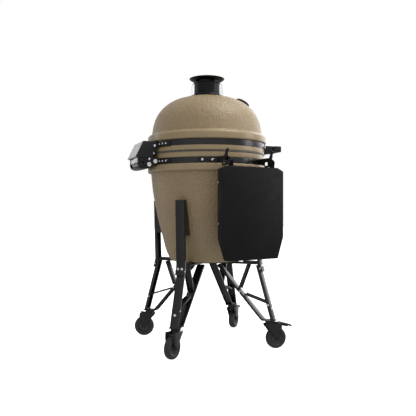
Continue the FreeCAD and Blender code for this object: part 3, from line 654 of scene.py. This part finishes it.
def build_bowl():
    """The bowl, dimpled below its collar and cut through at the draft door."""
    side = natural_spline(BOWL_SIDE, SHELL_STEPS)
    foot = rounded([(0.0, BOWL_BASE_Z), (0.178, BOWL_BASE_Z), BOWL_SIDE[0]], 0.010, 4)[:-1]
    collar = [side[-1], (0.2755, COLLAR_LOW[0] + 0.0004), (0.2875, COLLAR_LOW[0] + 0.0004),
              (COLLAR_R, 0.833), (COLLAR_R, 0.857), (0.287, COLLAR_LOW[1]), (GROOVE_R, COLLAR_LOW[1]),
              (GROOVE_R, 0.890), (RIM_R, 0.890), (RIM_R, 0.912), (0.279, BOWL_RIM_Z),
              (0.255, BOWL_RIM_Z), (0.253, 0.910)]
    collar = rounded(collar, 0.0035, 2)
    inside = natural_spline(BOWL_INSIDE, 16)
    outline = foot + side[:-1] + collar[:-1] + inside + [(0.0, BOWL_FLOOR_Z)]
    bowl = lathe("bowl_shell", outline, SHELL_SEGMENTS, closed=False)
    dimple(bowl, BOWL_SIDE[0][1], COLLAR_LOW[0])
    cutter = bmesh.new()
    door_low, door_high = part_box("draft_door")
    slab_between(cutter, (-0.052, -0.26, door_low.z + 0.006), (0.052, -0.12, door_high.z - 0.006))
    cutter = from_bmesh("draft_cut", cutter)
    cut = bowl.modifiers.new("draft", "BOOLEAN")
    cut.object = cutter
    cut.solver = "EXACT"
    apply_modifiers(bowl)
    bpy.data.objects.remove(cutter)
    shade(bowl, SHARP)
    stand_in(bowl, "ceramic_bowl", GLAZE)
    paint(bowl, GLAZE, GLAZE_SMOOTH, RAW)
    share_out(bowl, COLLAR_LOW[0] - 0.0005, BOWL_RIM_Z + 0.001, BARE_R, BOWL_FLOOR_Z - 0.001)


def build_dome():
    """The lid's shell, dimpled between its collar and the flue."""
    outer = dome_curve(DOME_R, DOME_RISE, DOME_FOOT_Z, FLUE_R, SHELL_STEPS)
    inner = dome_curve(0.245, 0.178, 1.000, FLUE_R, 20)
    outer = [p for p in outer if p[1] > DOME_SMOOTH_Z + 0.3 * MM]
    collar = [outer[0], (0.2708, 1.0150), (0.282, 1.009), (COLLAR_R, COLLAR_HIGH[1]), (COLLAR_R, 0.975),
              (0.287, COLLAR_HIGH[0]), (GROOVE_R, COLLAR_HIGH[0]), (GROOVE_R, 0.943), (RIM_R, 0.943),
              (RIM_R, 0.922), (0.279, LID_RIM_Z), (0.255, LID_RIM_Z), (0.252, 0.924), inner[0]]
    collar = rounded(collar, 0.0035, 2)
    outline = list(reversed(outer)) + collar[1:] + inner[1:]
    dome = lathe("dome_shell", outline, SHELL_SEGMENTS)
    dimple(dome, outer[0][1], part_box("lid_dome")[1].z - 0.001)
    stand_in(dome, "lid_dome", GLAZE)
    paint(dome, GLAZE, GLAZE_SMOOTH, RAW)
    share_out(dome, LID_RIM_Z - 0.001, DOME_SMOOTH_Z, BARE_R, LID_RIM_Z)


def ring_outline(r0, r1, z0, z1, corner):
    """A rounded rectangle, starting and ending in the middle of its underside."""
    middle = ((r0 + r1) / 2, z0)
    return rounded([middle, (r1, z0), (r1, z1), (r0, z1), (r0, z0), middle], corner)[:-1]


def build_rings():
    """Bands and gaskets."""
    for node in ("bowl_band", "lid_band"):
        low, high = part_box(node)
        band = lathe(node + "_strip", ring_outline(GROOVE_R + 0.1 * MM, BAND_R, low.z, high.z, 0.0009))
        stand_in(band, node, BAND)
    for node in ("bowl_gasket", "lid_gasket"):
        low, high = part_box(node)
        pad = lathe(node + "_pad", ring_outline(0.257, high.x, low.z, high.z, 0.0009))
        stand_in(pad, node, FELT)


# ---- sheet, cast and turned parts ---------------------------------------------------------------


def build_sheet_parts():
    """CAD shapes that are right as they are, with rounded edges and their own finish."""
    # node: width of the edge rounding in millimetres, finish
    sheet = {
        "hinge_hood": (0.7, COAT), "hinge_bracket": (0.7, COAT), "hinge_cover": (0.5, BRUSHED),
        "spring_guard": (0.4, POLISHED),
        "handle_brackets": (0.7, COAT), "handle_bar": (0.5, HANDLE), "table_brackets": (0.6, COAT),
        "table_latches_left": (0.6, COAT), "table_latches_right": (0.6, COAT), "table_pins": (0.8, COAT),
        "side_table_left": (0.9, TABLE), "side_table_right": (0.9, TABLE), "corner_posts": (0.7, STAND),
        "outer_legs": (0.6, STAND), "top_links": (0.6, STAND), "inner_struts": (0.6, STAND),
        "long_diagonals": (0.6, STAND), "cross_braces": (0.6, STAND), "support_plate": (0.6, COAT),
        "castor_plates": (0.6, FORK), "chimney_clips": (0.25, CHROME), "draft_frame": (0.5, DRAFT),
        "draft_door": (0.4, DRAFT), "fire_box": (2.0, RAW), "fire_ring": (2.0, RAW),
        "charcoal_grate": (0.8, GRATE_IRON), "cooking_grate": (0.0, GRATE_STEEL),
        "spring_rod": (0.4, BRIGHT), "hinge_pin": (0.4, BRIGHT), "bowl_bolts": (0.35, BRIGHT),
        "lid_bolts": (0.35, BRIGHT), "stand_bolts": (0.35, BRIGHT)}
    for node, (width, material) in sheet.items():
        stand_in(copy_of(node, width * MM), node, material)
    for corner in CORNERS:
        stand_in(copy_of("castor_fork_" + corner, 0.6 * MM), "castor_fork_" + corner, FORK)
    for corner in ("front_left", "front_right"):
        stand_in(copy_of("brake_pedal_" + corner, 1.2 * MM, 3), "brake_pedal_" + corner, FORK)


def build_spring():
    """The counterbalance coil round its rod."""
    low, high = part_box("hinge_spring")
    centre = (low + high) / 2
    radius = (high.y - low.y) / 2 - SPRING_WIRE_R
    half = (high.x - low.x) / 2 - SPRING_WIRE_R
    steps = 56
    last = SPRING_TURNS * steps
    points = []
    for k in range(last + 1):
        a = 2 * math.pi * k / steps
        x = centre.x - half + 2 * half * k / last
        points.append((x, centre.y + radius * math.cos(a), centre.z + radius * math.sin(a)))
    spring = tube("counterbalance_spring", points, SPRING_WIRE_R, 16)
    stand_in(spring, "hinge_spring", CHROME)


def build_chimney():
    """Base, tube and cap, and a thin bead round the foot of the tube's barrel."""
    low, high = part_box("chimney_base")
    flange_r, top = high.x, high.z
    base = [(0.046, low.z), (0.052, low.z), (0.052, top - 0.0067), (flange_r, top - 0.0080),
            (flange_r, top - 0.0015), (flange_r - 0.005, top - 0.0004), (flange_r - 0.015, top),
            (0.046, top), (0.046, low.z + 0.01)]
    stand_in(lathe("chimney_base_casting", rounded(base, 0.0015), CHIMNEY_SEGMENTS), "chimney_base", IRON)
    stand_in(copy_of("chimney_tube", 0.5 * MM, 2, 28.0), "chimney_tube", IRON)
    stand_in(copy_of("chimney_cap", 0.6 * MM, 2, 30.0), "chimney_cap", IRON)
    bead = ring_outline(CHIMNEY_R - 0.0005, CHIMNEY_R + 0.0012, 1.2260, 1.2285, 0.0008)
    add(lathe("chimney_bead", bead, CHIMNEY_SEGMENTS), "lid", IRON, "chimney_black")


def build_wheels():
    """Tyres and wheel centres, turned about the axle that the joint gives."""
    for corner in CORNERS:
        spin = JOINTS["wheel_" + corner + "_spin"]
        place = facing(spin["pos_m"], spin["axis"])
        tyre = [(0.036, -0.0155), (0.0425, -0.0155), (0.0455, -0.0142), (0.0482, -0.0108),
                (0.0495, -0.0066), (0.04998, -0.0025), (0.04998, 0.0025), (0.0495, 0.0066),
                (0.0482, 0.0108), (0.0455, 0.0142), (0.0425, 0.0155), (0.036, 0.0155), (0.036, 0.0)]
        tyre = lathe("tyre_" + corner, rounded(tyre, 0.0012, 2), SMALL_SEGMENTS, matrix=place)
        stand_in(tyre, "wheel_tyre_" + corner, RUBBER)
        hub = [(0.0051, -0.017), (0.0095, -0.017), (0.0115, -0.0155), (0.0125, -0.0105), (0.0265, -0.0085),
               (0.0285, -0.0105), (0.0315, -0.0145), (0.036, -0.015), (0.036, 0.015), (0.0315, 0.0145),
               (0.0285, 0.0105), (0.0265, 0.0085), (0.0125, 0.0105), (0.0115, 0.0155), (0.0095, 0.017),
               (0.0051, 0.017), (0.0051, 0.0)]
        hub = lathe("hub_" + corner, rounded(hub, 0.0008, 2), SMALL_SEGMENTS, matrix=place)
        stand_in(hub, "wheel_hub_" + corner, HUB)


def build_thermometer():
    """The gauge on the lid; its outlines are in its own frame, with z outwards from the dome."""
    spin = JOINTS["needle_turn"]
    normal = -Vector(spin["axis"])
    if normal.z < 0:
        normal = -normal
    up = Vector((0, 0, 1)) - normal * normal.z
    face = facing(Vector(spin["pos_m"]), normal, up)
    back = 0.0195                        # from the gauge's origin on the dome to the needle's joint

    def turned_piece(name, outline, sides=SMALL_SEGMENTS):
        return lathe(name, [(r, z - back) for r, z in outline], sides, closed=False, matrix=face)

    case = [(0.0, 0.010), (0.028, 0.010), (0.034, 0.0125), (0.0372, 0.0165), (0.0375, 0.019),
            (0.0375, 0.0225), (0.0368, 0.0241), (0.0352, 0.0245), (0.0338, 0.0241), (0.033, 0.0228),
            (0.033, 0.017), (0.0, 0.017)]
    stand_in(turned_piece("thermometer_shell", rounded(case, 0.0008, 2)), "thermometer_case", GAUGE)
    nut = [(0.0, 0.002), (0.011, 0.002), (0.011, 0.0101), (0.0, 0.0101)]
    add(turned_piece("thermometer_nut", nut, 6), "lid", BRIGHT, "bolt_steel")
    stem = [(0.0, -0.0595), (0.0022, -0.058), (0.003, -0.054), (0.003, 0.003), (0.0, 0.003)]
    add(turned_piece("thermometer_stem", stem, 24), "lid", BRIGHT, "bolt_steel")
    plate = [(0.0, 0.0171), (0.0326, 0.0171), (0.0328, 0.0175), (0.0326, 0.0183), (0.0, 0.0183)]
    stand_in(turned_piece("dial_plate", plate), "thermometer_dial", DIAL)
    pane = [(0.0, 0.0218), (0.0325, 0.0218), (0.0328, 0.0222), (0.0325, 0.0230), (0.0, 0.0234)]
    stand_in(turned_piece("gauge_pane", pane), "thermometer_glass", GLASS)
    stand_in(copy_of("thermometer_needle", 0.0), "thermometer_needle", RED)
    build_dial_print(face, 0.0184 - back)


def dial_angle(tick):
    return math.radians(DIAL_START - DIAL_SWEEP * tick / DIAL_TICKS)


def build_dial_print(face, height):
    """Ticks round the sweep of the needle, and plain numbers at every fifth one."""
    ticks = bmesh.new()
    for k in range(DIAL_TICKS + 1):
        inner = 0.0262 if k % 5 == 0 else 0.0285
        turn = Matrix.Rotation(dial_angle(k), 4, "Z")
        low, high = (inner, -0.00028, height - 0.0002), (0.0305, 0.00028, height + 0.0001)
        slab_between(ticks, low, high, face @ turn)
    add(from_bmesh("dial_ticks", ticks), "lid", INK, "dial_white")
    number_r = 0.0218
    for k in range(0, DIAL_TICKS + 1, 5):
        degrees = str(k * 10)
        text = bpy.data.curves.new("dial_number_" + degrees, "FONT")
        text.body = degrees
        text.size = 0.0062
        text.align_x = "CENTER"
        text.align_y = "CENTER"
        text.extrude = 0.00005
        mesh = mesh_of(text)
        a = dial_angle(k)
        spot = Matrix.Translation((number_r * math.cos(a), number_r * math.sin(a), height))
        mesh.transform(face @ spot @ Matrix.Rotation(-math.pi / 2, 4, "Z"))
        add(new_object("dial_number_" + degrees, mesh), "lid", INK, "dial_white")


def build_table_rivets():
    """Two bright rivets on each side flange of both tables."""
    head = [(0.0, -0.0005), (0.0026, -0.0005), (0.0026, 0.0004), (0.0018, 0.0011), (0.0, 0.0013)]
    head = rounded(head, 0.0005, 3)
    for side, azimuth in TABLE_AZIMUTH.items():
        a = math.radians(azimuth)
        out = Vector((math.cos(a), math.sin(a), 0))
        along = Vector((-math.sin(a), math.cos(a), 0))
        heads = []
        for z, end in product(RIVET_Z, (1, -1)):
            spot = out * RIVET_OUT + along * end * RIVET_ALONG + Vector((0, 0, z))
            heads.append(lathe("head", head, 24, closed=False, matrix=facing(spot, along * end)))
        add(shade(merged("table_rivets_" + side, heads)), "table_" + side, BRIGHT, "bolt_steel")


# ---- stage, light and camera --------------------------------------------------------------------


def build_stage():
    """A pale floor that the camera sees, but that throws no light back up at the grill."""
    bm = bmesh.new()
    bmesh.ops.create_grid(bm, x_segments=8, y_segments=8, size=FLOOR_HALF)
    floor = from_bmesh("studio_floor", bm)
    paint(floor, floor_paint())
    floor.visible_diffuse = floor.visible_glossy = False


def area_light(name, spot, target, size, power):
    light = bpy.data.lights.new(name, "AREA")
    light.shape = "RECTANGLE"
    light.size, light.size_y = size
    light.energy = power
    holder = bpy.data.objects.new(name, light)
    holder.location = spot
    holder.rotation_euler = (Vector(target) - Vector(spot)).to_track_quat("-Z", "Y").to_euler()
    holder.visible_camera = False
    bpy.context.scene.collection.objects.link(holder)


def build_world():
    """A studio that looks white, but lights the grill from a few soft bright areas."""
    world = bpy.data.worlds.new("studio")
    world.use_nodes = True
    tree = world.node_tree
    make, link = tree.nodes.new, tree.links.new
    direction = make("ShaderNodeTexCoord").outputs["Generated"]
    total = None
    for axis, start, end, amount in WORLD_LOBES:
        dot = make("ShaderNodeVectorMath")
        dot.operation = "DOT_PRODUCT"
        dot.inputs[1].default_value = axis
        link(direction, dot.inputs[0])
        lobe = make("ShaderNodeMapRange")
        lobe.interpolation_type = "SMOOTHSTEP"
        numbers = {"From Min": start, "From Max": end, "To Min": 0.0, "To Max": amount}
        for name, number in numbers.items():
            lobe.inputs[name].default_value = number
        link(dot.outputs["Value"], lobe.inputs["Value"])
        plus = make("ShaderNodeMath")
        plus.inputs[0].default_value = AMBIENT
        link(lobe.outputs["Result"], plus.inputs[1])
        if total is not None:
            link(total, plus.inputs[0])
        total = plus.outputs[0]
    lit = tree.nodes["Background"]
    seen = make("ShaderNodeBackground")
    mix = make("ShaderNodeMixShader")
    link(total, lit.inputs["Strength"])
    lit.inputs["Color"].default_value = (1.0, 1.0, 1.0, 1.0)
    seen.inputs["Color"].default_value = (1.0, 1.0, 1.0, 1.0)
    link(make("ShaderNodeLightPath").outputs["Is Camera Ray"], mix.inputs[0])
    link(lit.outputs[0], mix.inputs[1])
    link(seen.outputs[0], mix.inputs[2])
    link(mix.outputs[0], tree.nodes["World Output"].inputs["Surface"])
    bpy.context.scene.world = world


def build_light():
    build_world()
    for light in LIGHTS:
        area_light(*light)


def build_camera():
    data = bpy.data.cameras.new("view")
    data.sensor_width = SENSOR
    data.lens = LENS
    camera = bpy.data.objects.new("view", data)
    camera.location = CAMERA_SPOT
    camera.rotation_euler = Vector(CAMERA_LOOK).to_track_quat("-Z", "Y").to_euler()
    bpy.context.scene.collection.objects.link(camera)
    bpy.context.scene.camera = camera


build_camera()
build_light()
build_stage()
build_bowl()
build_dome()
build_rings()
build_sheet_parts()
build_spring()
build_chimney()
build_wheels()
build_thermometer()
build_table_rivets()
bpy.context.scene.view_settings.view_transform = "Standard"
